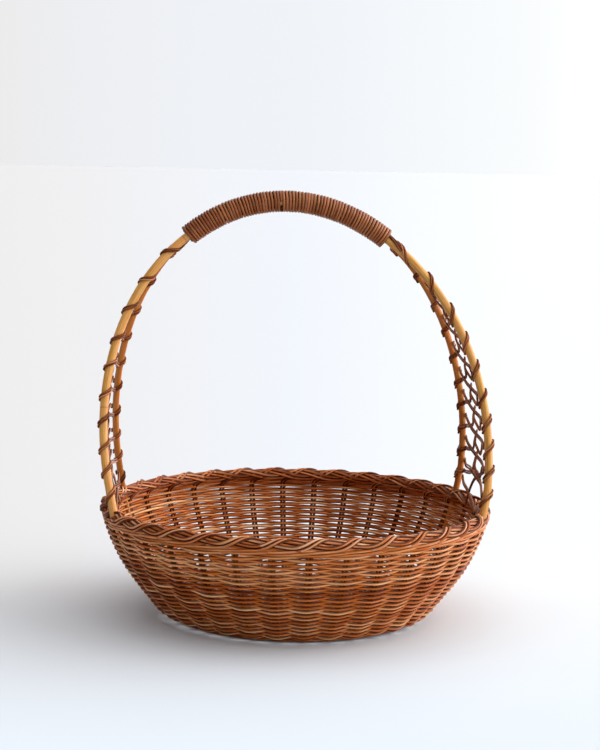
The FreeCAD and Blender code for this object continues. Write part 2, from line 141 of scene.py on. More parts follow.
class Strands:
    """Gathers round strands. Each point keeps its place along and across its own strand as grain, and
    the strand's tone, its warmth and how near the point is to the strand's side edges as tint."""

    def __init__(self):
        self.points, self.grain, self.tint = [], [], []
        self.quads, self.caps = [], []
        self.count = 0

    def add(self, line, radius, sides=8, closed=False, tone=0.5, warm=0.0, face=None, flat=1.0):
        """Sweeps an oval of the given radius, times flat along the face direction, down the line."""
        line = np.asarray(line, float)
        n = len(line)
        if closed:
            tangents = unit(np.roll(line, -1, 0) - np.roll(line, 1, 0))
        else:
            tangents = unit(np.gradient(line, axis=0))
        if face is None:
            first = np.array([0.0, 0, 1]) if abs(tangents[0][2]) < 0.9 else np.array([1.0, 0, 0])
            v = carried_normals(tangents, first)
        else:
            face = np.broadcast_to(np.asarray(face, float), line.shape)
            v = unit(face - (face * tangents).sum(1, keepdims=True) * tangents)
        u = np.cross(tangents, v)
        radius = np.broadcast_to(np.asarray(radius, float), (n,)).copy()
        steps = np.linalg.norm(np.diff(line, axis=0), axis=1)
        along = np.concatenate([[0], np.cumsum(steps)])
        if not closed:
            ends = (line[:1] - tangents[:1] * radius[0] * 0.5, line[-1:] + tangents[-1:] * radius[-1] * 0.5)
            line = np.vstack([ends[0], line, ends[1]])
            u, v = (np.vstack([w[:1], w, w[-1:]]) for w in (u, v))
            along = np.concatenate([[-radius[0] / 2], along, [along[-1] + radius[-1] / 2]])
            radius = np.concatenate([[radius[0] * 0.6], radius, [radius[-1] * 0.6]])
            n += 2
        angle = np.arange(sides) * TAU / sides
        ring = (np.cos(angle)[None, :, None] * u[:, None, :]
                + np.sin(angle)[None, :, None] * v[:, None, :] * flat) * radius[:, None, None]
        points = line[:, None, :] + ring
        start = rng.uniform(0, 4000)
        grain = np.empty((n, sides, 3))
        grain[..., 0] = along[:, None] + start
        grain[..., 1] = np.cos(angle) * radius[:, None]
        grain[..., 2] = np.sin(angle) * radius[:, None]
        tint = np.empty((n, sides, 3))
        tint[..., 0], tint[..., 1], tint[..., 2] = tone, warm, np.cos(angle)
        rows = np.arange(n if closed else n - 1)
        here = self.count + rows[:, None] * sides + np.arange(sides)[None, :]
        ahead = self.count + ((rows + 1) % n)[:, None] * sides + np.arange(sides)[None, :]
        quads = np.stack([here, np.roll(here, -1, 1), np.roll(ahead, -1, 1), ahead], -1)
        self.quads.append(quads.reshape(-1, 4))
        if not closed:
            self.caps.append(self.count + np.arange(sides)[::-1])
            self.caps.append(self.count + (n - 1) * sides + np.arange(sides))
        self.points.append(points.reshape(-1, 3))
        self.grain.append(grain.reshape(-1, 3))
        self.tint.append(tint.reshape(-1, 3))
        self.count += n * sides

    def build(self, name, material, slot, nodes=()):
        """Makes the mesh object, rides it on the basket's body and hides the CAD nodes it stands for."""
        points = np.vstack(self.points) * MM
        quads = np.vstack(self.quads)
        corners = [quads.reshape(-1)] + self.caps
        totals = np.concatenate([np.full(len(quads), 4), [len(c) for c in self.caps]]).astype(np.int32)
        mesh = bpy.data.meshes.new(name)
        mesh.vertices.add(len(points))
        mesh.vertices.foreach_set("co", points.astype(np.float32).ravel())
        flat_corners = np.concatenate(corners).astype(np.int32)
        mesh.loops.add(len(flat_corners))
        mesh.loops.foreach_set("vertex_index", flat_corners)
        mesh.polygons.add(len(totals))
        starts = np.concatenate([[0], np.cumsum(totals)[:-1]])
        mesh.polygons.foreach_set("loop_start", starts.astype(np.int32))
        mesh.polygons.foreach_set("loop_total", totals)
        mesh.polygons.foreach_set("use_smooth", np.ones(len(totals), bool))
        mesh.update(calc_edges=True)
        for key, values in (("grain", self.grain), ("tint", self.tint)):
            layer = mesh.attributes.new(key, "FLOAT_VECTOR", "POINT")
            layer.data.foreach_set("vector", np.vstack(values).astype(np.float32).ravel())
        mesh.validate()
        piece = bpy.data.objects.new(name, mesh)
        bpy.context.scene.collection.objects.link(piece)
        mesh.materials.append(material)
        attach(piece, "root")
        if nodes:
            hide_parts(*nodes)
        return piece


def wobble(angles, size, waves=(2, 3, 5, 9)):
    """Slow random wave round the basket, for lines laid by hand."""
    total = np.zeros_like(angles)
    for k in waves:
        total += rng.uniform(-1, 1) * np.sin(k * angles + rng.uniform(0, TAU)) / math.sqrt(k)
    return total * size / 1.5


# ---- cane material ----

CANE_BROWNS = {
    # slot: (dark, middle, light, golden) as linear colours
    "weave_cane": ((0.120, 0.012, 0.001), (0.530, 0.128, 0.010), (0.93, 0.560, 0.280), (0.90, 0.48, 0.085)),
    "wale_cane": ((0.115, 0.012, 0.001), (0.500, 0.120, 0.010), (0.88, 0.530, 0.280), (0.88, 0.47, 0.085)),
    "border_cane": ((0.105, 0.012, 0.001), (0.460, 0.112, 0.014), (0.86, 0.530, 0.310), (0.88, 0.47, 0.100)),
    "stake_cane": ((0.070, 0.010, 0.001), (0.240, 0.055, 0.005), (0.46, 0.185, 0.050), (0.64, 0.31, 0.070)),
    "base_cane": ((0.095, 0.018, 0.003), (0.330, 0.100, 0.018), (0.60, 0.280, 0.100), (0.72, 0.37, 0.080)),
    "rod_cane_front": ((0.30, 0.095, 0.012), (0.60, 0.280, 0.055), (0.82, 0.52, 0.20), (0.86, 0.60, 0.28)),
    "rod_cane_back": ((0.20, 0.044, 0.006), (0.46, 0.150, 0.022), (0.68, 0.30, 0.065), (0.76, 0.40, 0.11)),
    "binding_cane": ((0.080, 0.012, 0.002), (0.250, 0.060, 0.009), (0.58, 0.250, 0.100), (0.66, 0.32, 0.070)),
    "lace_cane": ((0.085, 0.016, 0.003), (0.270, 0.070, 0.016), (0.66, 0.300, 0.140), (0.72, 0.34, 0.090)),
    "filler_cane": ((0.14, 0.035, 0.008), (0.38, 0.130, 0.030), (0.58, 0.27, 0.09), (0.66, 0.36, 0.10)),
}


class Nodes:
    """Short way to add and join shader nodes."""

    def __init__(self, material):
        self.tree = material.node_tree
        self.tree.nodes.clear()

    def add(self, kind, **settings):
        node = self.tree.nodes.new("ShaderNode" + kind)
        for key, value in settings.items():
            setattr(node, key, value)
        return node

    def join(self, source, target):
        self.tree.links.new(source, target)

    def math(self, operation, a, b=None, clamp=False):
        node = self.add("Math", operation=operation, use_clamp=clamp)
        for socket, value in zip(node.inputs, (a, b)):
            if value is None:
                continue
            if isinstance(value, (int, float)):
                socket.default_value = value
            else:
                self.join(value, socket)
        return node.outputs[0]

    def noise(self, vector, scale, detail=2.0, roughness=0.5, stretch=None):
        if stretch is not None:
            mapping = self.add("Mapping")
            mapping.inputs["Scale"].default_value = stretch
            self.join(vector, mapping.inputs["Vector"])
            vector = mapping.outputs[0]
        node = self.add("TexNoise")
        node.inputs["Scale"].default_value = scale
        node.inputs["Detail"].default_value = detail
        node.inputs["Roughness"].default_value = roughness
        self.join(vector, node.inputs["Vector"])
        return node.outputs["Fac"]

    def spread(self, value, low, high, to_low, to_high, interpolation="LINEAR"):
        """Maps low..high to to_low..to_high, held at the ends."""
        node = self.add("MapRange", interpolation_type=interpolation)
        settings = (("From Min", low), ("From Max", high), ("To Min", to_low), ("To Max", to_high))
        for key, setting in settings:
            node.inputs[key].default_value = setting
        self.join(value, node.inputs["Value"])
        return node.outputs["Result"]

    def ramp(self, fac, stops):
        node = self.add("ValToRGB")
        elements = node.color_ramp.elements
        while len(elements) < len(stops):
            elements.new(0.5)
        for element, (place, colour) in zip(elements, stops):
            element.position = place
            element.color = (*colour, 1)
        self.join(fac, node.inputs[0])
        return node.outputs[0]

    def mix(self, fac, a, b, blend="MIX"):
        node = self.add("Mix", data_type="RGBA", blend_type=blend)
        for socket, value in ((node.inputs[0], fac), (node.inputs[6], a), (node.inputs[7], b)):
            if isinstance(value, (int, float)):
                socket.default_value = value
            elif isinstance(value, tuple):
                socket.default_value = (*value, 1)
            else:
                self.join(value, socket)
        return node.outputs[2]


def cane_material(slot, gloss=0.42, fibre=26.0, node_spacing=0.0, crevice_shade=1.5, sheen=0.14):
    """Natural cane: colour by strand, long streaks, fine fibres, specks, dark nodes, painted shade along the
    strands' side edges and a satin skin.
    """
    dark, middle, light, golden = CANE_BROWNS[slot]
    material = bpy.data.materials.new(slot)
    material.use_nodes = True
    n = Nodes(material)
    grain = n.add("Attribute", attribute_name="grain").outputs["Vector"]
    tint = n.add("SeparateXYZ")
    n.join(n.add("Attribute", attribute_name="tint").outputs["Vector"], tint.inputs[0])
    tone, warm, edge = tint.outputs

    streaks = n.noise(grain, 1.0, 3.0, 0.6, stretch=(0.035, 0.9, 0.9))
    fibres = n.noise(grain, 1.0, 2.0, 0.6, stretch=(0.10, fibre / 6, fibre / 6))
    patches = n.noise(grain, 1.0, 2.0, 0.5, stretch=(0.012, 0.15, 0.15))
    specks = n.noise(grain, 1.0, 1.0, 0.5, stretch=(0.45, 1.6, 1.6))

    shade = n.math("ADD", tone, n.math("MULTIPLY", n.math("SUBTRACT", streaks, 0.5), 0.9))
    shade = n.math("ADD", shade, n.math("MULTIPLY", n.math("SUBTRACT", patches, 0.5), 0.8))
    shade = n.math("ADD", shade, n.math("MULTIPLY", n.math("SUBTRACT", fibres, 0.5), 0.25), clamp=True)
    colour = n.ramp(shade, ((0.05, dark), (0.46, middle), (0.90, light)))
    drift = n.noise(grain, 1.0, 1.0, 0.5, stretch=(0.017, 0.02, 0.02))
    gilt = n.math("MULTIPLY", n.math("SUBTRACT", drift, 0.56, clamp=True), 4.5, clamp=True)
    gilt = n.math("MULTIPLY", gilt, n.math("ADD", warm, 0.45), clamp=True)
    colour = n.mix(gilt, colour, n.mix(streaks, golden, light))
    red = n.math("MULTIPLY", n.math("SUBTRACT", patches, 0.42, clamp=True), 1.6, clamp=True)
    colour = n.mix(red, colour, (0.30, 0.055, 0.035), blend="SOFT_LIGHT")
    speck = n.math("MULTIPLY", n.math("SUBTRACT", specks, 0.66, clamp=True), 5.0, clamp=True)
    colour = n.mix(n.math("MULTIPLY", speck, 0.55), colour, dark)

    # Painted shade: the strands' side edges, where they lie edge to edge, are darkened towards a deep brown.
    painted_edge_shade = n.math("MULTIPLY", n.math("SUBTRACT", n.math("ABSOLUTE", edge), 0.42, clamp=True), crevice_shade)
    colour = n.mix(n.math("MINIMUM", painted_edge_shade, 0.9), colour, tuple(0.45 * c for c in dark))

    bump_height = n.math("ADD", n.math("MULTIPLY", fibres, 0.6), n.math("MULTIPLY", streaks, 0.5))
    if node_spacing:
        split = n.add("SeparateXYZ")
        n.join(grain, split.inputs[0])
        phase = n.math("FRACT", n.math("DIVIDE", split.outputs[0], node_spacing))
        off_node = n.math("ABSOLUTE", n.math("SUBTRACT", phase, 0.5))
        ridge = n.math("SUBTRACT", 1.0, n.math("MULTIPLY", off_node, node_spacing / 1.1), clamp=True)
        colour = n.mix(n.math("MULTIPLY", ridge, 0.6), colour, dark)
        bump_height = n.math("ADD", bump_height, n.math("MULTIPLY", ridge, -0.8))

    shader = n.add("BsdfPrincipled")
    n.join(colour, shader.inputs["Base Color"])
    rough = n.math("ADD", n.math("MULTIPLY", streaks, 0.28), gloss - 0.10)
    n.join(n.math("ADD", rough, n.math("MULTIPLY", speck, 0.2), clamp=True), shader.inputs["Roughness"])
    shader.inputs["Specular IOR Level"].default_value = sheen
    bump = n.add("Bump")
    bump.inputs["Strength"].default_value = 0.35
    bump.inputs["Distance"].default_value = 0.0003
    n.join(bump_height, bump.inputs["Height"])
    n.join(bump.outputs[0], shader.inputs["Normal"])
    output = n.add("OutputMaterial")
    n.join(shader.outputs[0], output.inputs[0])
    return material


# Where a cane's skin differs from the plain one. The rods show their nodes; the binding is polished.
# crevice_shade sets how strongly painted shade darkens a cane's side edges.
ROD_SKIN = {"fibre": 20.0, "node_spacing": NODE_SPACING, "crevice_shade": 0.0, "sheen": 0.3}
CANE_SKINS = {
    "rod_cane_front": {"gloss": 0.34, **ROD_SKIN},
    "rod_cane_back": {"gloss": 0.36, **ROD_SKIN},
    "binding_cane": {"gloss": 0.28, "crevice_shade": 1.7, "sheen": 0.24},
    "border_cane": {"crevice_shade": 2.4},
}
cane = {slot: cane_material(slot, **CANE_SKINS.get(slot, {})) for slot in CANE_BROWNS}

# ---- the stakes' line: flat in the base, round the upsett, up the bowl ----


def wall_angle(z):
    return math.asin((WALL_ARC_CENTRE_Z - max(z, WALL_ARC_START_Z)) / WALL_ARC_RADIUS)


def stake_line():
    """Samples of the stakes' centre line: distance, radius, height and outward normal.
    Distance 0 is the upsett."""
    slope = TAU / 4 - wall_angle(0)
    start_r = WALL_ARC_CENTRE_R + WALL_ARC_RADIUS * math.cos(wall_angle(0))
    line_low_z = BASE_MID_Z + UPSETT_RADIUS * (1 - math.cos(slope))
    line_low_r = start_r - (WALL_ARC_START_Z - line_low_z) * math.tan(wall_angle(0))
    upsett_r = line_low_r - UPSETT_RADIUS * math.sin(slope)
    rows = [(-upsett_r, 0.0, BASE_MID_Z, 0.0, -1.0)]
    steps = 12
    for i in range(steps + 1):
        a = slope * i / steps
        rows.append((UPSETT_RADIUS * a, upsett_r + UPSETT_RADIUS * math.sin(a),
                     BASE_MID_Z + UPSETT_RADIUS * (1 - math.cos(a)), math.sin(a), -math.cos(a)))
    slope_length = (WALL_ARC_START_Z - line_low_z) / math.cos(wall_angle(0))
    arc_start = UPSETT_RADIUS * slope + slope_length
    steps = 40
    top_angle = wall_angle(RIM_Z)
    for i in range(steps + 1):
        a = wall_angle(0) + (top_angle - wall_angle(0)) * i / steps
        rows.append((arc_start + WALL_ARC_RADIUS * (wall_angle(0) - a),
                     WALL_ARC_CENTRE_R + WALL_ARC_RADIUS * math.cos(a),
                     WALL_ARC_CENTRE_Z - WALL_ARC_RADIUS * math.sin(a), math.cos(a), -math.sin(a)))
    return np.array(rows).T


LINE_S, LINE_R, LINE_Z, LINE_NR, LINE_NZ = stake_line()
UPSETT_R = -LINE_S[0]


def s_at_height(z):
    return float(np.interp(z, LINE_Z[1:], LINE_S[1:]))


def wall_radius(z):
    return float(np.interp(s_at_height(z), LINE_S, LINE_R))


def on_wall(s, out, angle):
    """Point at distance s up the stakes' line, moved out along the wall's normal, at an angle round
    the basket."""
    r = np.interp(s, LINE_S, LINE_R) + out * np.interp(s, LINE_S, LINE_NR)
    z = np.interp(s, LINE_S, LINE_Z) + out * np.interp(s, LINE_S, LINE_NZ)
    return np.stack([r * np.cos(angle), r * np.sin(angle), np.broadcast_to(z, np.shape(r))], -1)


def wall_normal(s, angle):
    nr, nz = np.interp(s, LINE_S, LINE_NR), np.interp(s, LINE_S, LINE_NZ)
    return np.stack([nr * np.cos(angle), nr * np.sin(angle), np.broadcast_to(nz, np.shape(angle))], -1)


def over_under(phase):
    """Cosine with straighter flanks, the way a stiff weaver runs from one pair of stakes to the next."""
    return 0.95 * np.cos(phase) + 0.05 * np.cos(3 * phase)


# ---- side stakes ----

def build_stakes():
    side, bye = Strands(), Strands()
    in_base = np.linspace(STAKE_START_R - UPSETT_R, 0, 6)
    s = np.concatenate([in_base, np.linspace(1.2, s_at_height(STAKE_TOP_Z), 46)])
    for j in range(STAKE_PAIRS):
        angle = FIRST_PAIR + j * PAIR_STEP
        for strands, shift in ((side, 0.5), (bye, -0.5)):
            r = np.interp(s, LINE_S, LINE_R)
            turn = angle + shift * STAKE_PAIR_SPACING / r
            tone = rng.uniform(0.25, 0.65)
            strands.add(on_wall(s, np.zeros_like(s), turn), STAKE_RADIUS, 8, tone=tone, face=(0, 0, 1))
    side.build("side_stakes_cane", cane["stake_cane"], "stake_cane", ["side_stakes"])
    bye.build("bye_stakes_cane", cane["stake_cane"], "stake_cane", ["bye_stakes"])


# ---- side weaving ----

WEAVER_RADIUS = 1.46
WEAVE_REACH = STAKE_RADIUS + WEAVER_RADIUS - 0.25
ROW_PITCH = 2.72
SEGMENTS_PER_STAKE = 10
FIRST_ROW_S = 4.0
# Heights where the lower and the middle band of side weaving end.
WEAVE_BAND_TOPS = (36.0, 64.0)


def weaver_length(strands, s, sign, start_pair, pairs, tone, warm, radius):
    """One length of weaver that starts and ends behind a stake, on the inside of the wall."""
    count = pairs * SEGMENTS_PER_STAKE + 1
    step = np.linspace(0, pairs, count)
    angle = FIRST_PAIR + (start_pair + step) * PAIR_STEP
    out = sign * WEAVE_REACH * over_under(math.pi * (start_pair + step))
    out = out * (1 + wobble(angle, 0.05, (7, 13))) + wobble(angle, 0.18)
    level = s + wobble(angle, 0.35)
    ease = np.exp(-np.minimum(step, pairs - step) * 2.2)
    out = out - 0.9 * ease
    line = on_wall(level, out, angle)
    strands.add(line, radius, 8, tone=tone, warm=warm, face=wall_normal(level, angle))


def build_side_weave():
    top_s = s_at_height(WALE_BOTTOM_Z) - WEAVER_RADIUS
    row_count = int((top_s - FIRST_ROW_S) / ROW_PITCH) + 1
    pitch = (top_s - FIRST_ROW_S) / (row_count - 1)
    split = [s_at_height(z) for z in WEAVE_BAND_TOPS]
    bands = (Strands(), Strands(), Strands())
    for i in range(row_count):
        s = FIRST_ROW_S + pitch * i
        band = bands[sum(s > limit for limit in split)]
        sign = 1 if i % 2 else -1
        # A length starts where the row is on the inside: even pairs for one sign, odd for the other.
        start = 2 * rng.randrange(STAKE_PAIRS // 2) + (1 if sign > 0 else 0)
        cut = 2 * rng.randrange(6, 12)
        for offset, pairs in ((0, cut), (cut, STAKE_PAIRS - cut)):
            golden = rng.random() < 0.06
            if row_count - i <= 2:
                golden = rng.random() < 0.5
            tone = min(max(rng.gauss(0.48, 0.12), 0.15), 0.85)
            weaver_length(band, s, sign, start + offset, pairs, tone, 0.55 if golden else 0.0,
                          WEAVER_RADIUS * rng.uniform(0.92, 1.06))
    for band, part in zip(bands, ("lower", "middle", "upper")):
        node = "side_weave_" + part
        band.build(node + "_strands", cane["weave_cane"], "weave_cane", [node])


# ---- twisted ropes: the top wale and the foot ----

WALE_ROW_LIFTS = (1.6, 4.4)
FOOT_MID_Z = 1.55


def twisted_rope(strands, place, radial, vertical, radius, stakes_per_turn=3, tone=0.5):
    """Three strands twisted round each other in one ring. place gives (r, z) from the angle."""
    count = STAKE_PAIRS * 3 * 10
    angle = np.linspace(0, 3 * TAU, count, endpoint=False)
    phase = TAU * (angle / PAIR_STEP) / stakes_per_turn
    r, z = place(angle)
    r = r + radial * np.cos(phase)
    z = z + vertical * np.sin(phase)
    line = np.stack([r * np.cos(angle), r * np.sin(angle), z], -1)
    face = np.stack([np.cos(angle), np.sin(angle), 0 * angle], -1)
    strands.add(line, radius, 8, closed=True, tone=tone, face=face)


def build_wales():
    wale = Strands()
    for row, lift in enumerate(WALE_ROW_LIFTS):
        z = WALE_BOTTOM_Z + lift
        r = wall_radius(z)
        twisted_rope(wale, lambda a: (r + wobble(a, 0.2), z + wobble(a, 0.25)), 2.9, 1.3, 1.5,
                     tone=0.50 + 0.05 * row)
    wale.build("top_wale_strands", cane["wale_cane"], "wale_cane", ["top_wale"])
    foot = Strands()
    twisted_rope(foot, lambda a: (FOOT_R + 0 * a, FOOT_MID_Z + 0 * a), 2.7, 0.55, 0.98)
    foot.build("foot_wale_strands", cane["wale_cane"], "wale_cane", ["foot_wale"])


# ---- border: a five-way plait of doubled canes folded over the rim, with the stakes' ends bent into it ----

BORDER_MID_R = 189.3
BORDER_CANE_RADIUS = 1.62
BORDER_CORE_Z = RIM_Z - 6.3
BORDER_HALF_WIDTH = 4.7
BORDER_HALF_HEIGHT = 4.5
BORDER_FOLD = math.radians(118)
PLAIT_GROUPS = 5
# The way of a stake's end inside the border: (stake steps along, out from the middle, drop from the
# rim's top)
STAKE_END_PATH = (
    (0.00, -1.2, -19.0), (0.00, -2.2, -14.5), (-0.10, -4.0, -10.8), (-0.36, -5.0, -7.6), (-0.72, -2.8, -5.6),
    (-1.10, 0.4, -5.8), (-1.50, 1.8, -7.0),
)


def plait_line():
    """The strands' common line, five times round the rim: outside low, over the top, inside low and
    back."""
    count = STAKE_PAIRS * PLAIT_GROUPS * 12
    angle = np.linspace(0, PLAIT_GROUPS * TAU, count, endpoint=False)
    phase = TAU * (angle / PAIR_STEP + 0.4) / PLAIT_GROUPS
    # The way in over the top is short and steep, the way back out is long.
    phase = phase - 0.42 * np.cos(phase)
    fold = BORDER_FOLD * np.cos(phase)
    lift = 1 + 0.20 * np.sin(phase) + 0.24 * np.sin(2 * phase)
    uneven = wobble(angle, 0.5, (5, 11, 17, 29))
    r = BORDER_MID_R + (BORDER_HALF_WIDTH * np.sin(fold)) * lift + uneven * 0.5
    z = BORDER_CORE_Z + BORDER_HALF_HEIGHT * np.cos(fold) * lift + uneven * 0.5
    line = np.stack([r * np.cos(angle), r * np.sin(angle), z], -1)
    away = np.stack([np.sin(fold) * np.cos(angle), np.sin(fold) * np.sin(angle), np.cos(fold)], -1)
    return line, away, angle


def build_border():
    border = Strands()
    line, away, angle = plait_line()
    tangent = unit(np.roll(line, -1, 0) - np.roll(line, 1, 0))
    aside = unit(np.cross(tangent, away))
    for shift in (-1, 1):
        spread = shift * (BORDER_CANE_RADIUS * 1.12 + wobble(angle, 0.22, (4, 9, 13)))
        # The closed strand is cut into lengths, each with its own colour, that meet under a crossing.
        pieces = 2 * STAKE_PAIRS
        per_piece = len(line) // pieces
        offset_line = line + aside * spread[:, None]
        for i in range(pieces):
            index = np.arange(i * per_piece - 3, (i + 1) * per_piece + 4) % len(line)
            tone = min(max(rng.gauss(0.50, 0.12), 0.15), 0.9)
            border.add(offset_line[index], BORDER_CANE_RADIUS * rng.uniform(0.93, 1.05), 8, tone=tone,
                       warm=0.6 if rng.random() < 0.05 else 0.0, face=away[index])
    for j in range(STAKE_PAIRS):
        nudge = [rng.uniform(-0.4, 0.4) for _ in range(2)]
        for shift in (-0.5, 0.5):
            keys = []
            for step, out, drop in STAKE_END_PATH:
                r = BORDER_MID_R + out + nudge[0]
                turn = FIRST_PAIR + (j + step) * PAIR_STEP + shift * STAKE_PAIR_SPACING / r
                keys.append((r * math.cos(turn), r * math.sin(turn), RIM_Z + drop + nudge[1] + shift))
            border.add(smooth_line(keys, 6), BORDER_CANE_RADIUS * 0.95, 8, tone=rng.uniform(0.3, 0.65))
    border.build("border_plait", cane["border_cane"], "border_cane", ["border"])


# ---- base ----

BASE_FIRST_R = 24.0
# Out to here the weavers pass over and under pairs of sticks, then over and under single sticks.
BASE_PAIRED_R = 50.0
BASE_SPLIT_R = 88.0
# Beyond this the stakes' ends lie between the sticks.
BASE_STAKES_R = 94.0
BASE_STICK_REACH = 1.55 + STICK_RADIUS


def build_base():
    lower, upper = Strands(), Strands()
    for strands, count, layer, turn in ((lower, STICKS_LOWER, -1, 0.0), (upper, STICKS_UPPER, 1, TAU / 4)):
        for i in range(count):
            place = i - (count - 1) / 2
            fan = place * PAIR_STEP
            near = [(r * math.cos(fan), r * math.sin(fan), BASE_MID_Z + layer * STICK_LAYER_OFFSET * lift)
                    for r, lift in ((STICK_END_R, 0), (98, 0), (75, 0), (52, 0.15), (30, 0.6))]
            near.append((11.5, place * STICK_SPACING, BASE_MID_Z + layer * STICK_LAYER_OFFSET))
            path = np.array(near + [(-x, y, z) for x, y, z in reversed(near)])
            c, s = math.cos(turn), math.sin(turn)
            path = path @ np.array([[c, s, 0], [-s, c, 0], [0, 0, 1]])
            strands.add(smooth_line(path, 6), STICK_RADIUS, 8, tone=rng.uniform(0.35, 0.7), face=(0, 0, 1))
    lower.build("base_sticks_lower_cane", cane["base_cane"], "base_cane", ["base_sticks_lower"])
    upper.build("base_sticks_upper_cane", cane["base_cane"], "base_cane", ["base_sticks_upper"])

    inner, outer = Strands(), Strands()
    r = BASE_FIRST_R
    row = 0
    while r < UPSETT_R - 1:
        if r < BASE_PAIRED_R:
            spokes, per_spoke = STAKE_PAIRS // 2, 8
        elif r < BASE_STAKES_R:
            spokes, per_spoke = STAKE_PAIRS, 8
        else:
            spokes, per_spoke = 2 * STAKE_PAIRS, 6
        count = spokes * per_spoke
        turns = 2 if spokes % 2 else 1
        angle = np.linspace(0, turns * TAU, count * turns, endpoint=False)
        # Spokes of the innermost rounds are pairs of sticks; the outermost are sticks and stake ends in turn.
        shift = PAIR_STEP / 2 if spokes == STAKE_PAIRS // 2 else 0.0
        sign = 1 if row % 2 else -1
        reach = BASE_STICK_REACH if r < BASE_STAKES_R else STAKE_RADIUS + WEAVER_RADIUS
        z = BASE_MID_Z + sign * reach * 0.86 * over_under(spokes * (angle - shift) / 2)
        radius = np.full_like(angle, r) + wobble(angle, 0.25, (2, 4, 6))
        if turns == 2:
            radius = radius + angle / TAU * ROW_PITCH / 2
        line = np.stack([radius * np.cos(angle), radius * np.sin(angle), z], -1)
        strands = inner if r < BASE_SPLIT_R else outer
        closed = turns == 1
        strands.add(line, WEAVER_RADIUS * rng.uniform(0.92, 1.05), 6, closed=closed,
                    tone=min(max(rng.gauss(0.5, 0.15), 0.15), 0.9), warm=0.6 if rng.random() < 0.05 else 0.0,
                    face=(0, 0, 1))
        r += ROW_PITCH * (1 if turns == 1 else 1.5)
        row += 1
    inner.build("base_weave_inner_strands", cane["base_cane"], "base_cane", ["base_weave_inner"])
    outer.build("base_weave_outer_strands", cane["base_cane"], "base_cane", ["base_weave_outer"])


# ---- handle rods ----

def arch_point(t, normal_offset=0.0, y=0.0):
    """Point on the leaning ellipse of the arch. t is 0 at the top and positive towards +X."""
    tangent = unit(np.array([ARCH_HALF_WIDTH * math.cos(t), 0, -ARCH_HALF_HEIGHT * math.sin(t)]))
    x = ARCH_HALF_WIDTH * math.sin(t) - tangent[2] * normal_offset
    z = ARCH_CENTRE_Z + ARCH_HALF_HEIGHT * math.cos(t) + tangent[0] * normal_offset
    return np.array([x - ARCH_LEAN * max(z - LEAN_START_Z, 0), y, z])


def arch_parameter(z):
    return math.acos((z - ARCH_CENTRE_Z) / ARCH_HALF_HEIGHT)


GRIP_Z = arch_point(GRIP_HALF_ANGLE)[2]


def below_grip(z):
    """0 at the grip and above it, 1 at the rim and below it."""
    return min(max((GRIP_Z - z) / (GRIP_Z - ROD_RIM_Z), 0), 1)


def rod_bow(z, side_y):
    """How far a rod's leg stands outside the ellipse."""
    if side_y < 0:
        return FRONT_ROD_BOW_OUT * math.sin(math.pi * below_grip(z) ** 0.7)
    return -BACK_ROD_BOW_IN * math.sin(0.75 * math.pi * below_grip(z))


def rod_half_width(z, side_y):
    return ARCH_HALF_WIDTH * math.sin(arch_parameter(z)) + rod_bow(z, side_y)


def rod_y(z, side_y):
    """Distance of a rod from the middle plane: follows the wall below the rim, closes in above it."""
    rim_y = ROD_RIM_Y[side_y]
    if z < ROD_RIM_Z:
        drop = wall_radius(ROD_RIM_Z) - math.hypot(rod_half_width(ROD_RIM_Z, side_y), rim_y)
        return math.sqrt((wall_radius(z) - drop) ** 2 - rod_half_width(z, side_y) ** 2)
    return ROD_GRIP_Y + (rim_y - ROD_GRIP_Y) * below_grip(z)


def rod_point(t, side_y):
    point = arch_point(t)
    bow = rod_bow(point[2], side_y) * math.copysign(1, t)
    return point + np.array([bow, side_y * rod_y(point[2], side_y), 0])


def rod_tangent(t, side_y):
    """Direction of the rod, always pointing upwards."""
    d = rod_point(t - 0.01, side_y) - rod_point(t + 0.01, side_y)
    return unit(d if d[2] > 0 else -d)


def build_rods():
    tip = arch_parameter(ROD_TIP_Z)
    for name, side_y, slot in (("front", -1, "rod_cane_front"), ("back", 1, "rod_cane_back")):
        rod = Strands()
        t = np.linspace(-tip, tip, 260)
        line = np.array([rod_point(a, side_y) for a in t])
        z = line[:, 2]
        whittled = np.clip((z - ROD_TIP_Z) / (ROD_SHOULDER_Z - ROD_TIP_Z), 0, 1)
        radius = np.where(z < ROD_SHOULDER_Z, 1.6 + 1.2 * whittled, ROD_RADIUS[side_y])
        radius = radius * (1 + wobble(t * 2, 0.018, (3, 7, 11)))
        along = np.concatenate([[0], np.cumsum(np.linalg.norm(np.diff(line, axis=0), axis=1))])
        radius = radius + 0.22 * np.exp(-((along % NODE_SPACING - NODE_SPACING / 2) / 3.0) ** 2)
        sway = np.stack([wobble(t, 0.5, (3, 5, 8)), wobble(t, 0.35, (3, 6)), wobble(t, 0.4, (4, 7))], -1)
        steady = np.clip((z - 118) / 60, 0, 1)[:, None] * np.clip((GRIP_Z - z) / 60, 0, 1)[:, None]
        rod.add(line + sway * steady, radius, 16, tone=0.52)
        rod.build("handle_rod_" + name + "_cane", cane[slot], slot, ["handle_rod_" + name])


# ---- grip ----

BINDING_RADIUS_R = 9.55
BINDING_PITCH = 3.05
BINDING_SPLITS = (math.radians(-19.5), math.radians(-1.5))
# Angle on the arch left free at each end of a binding length.
BINDING_GAP = 0.0015


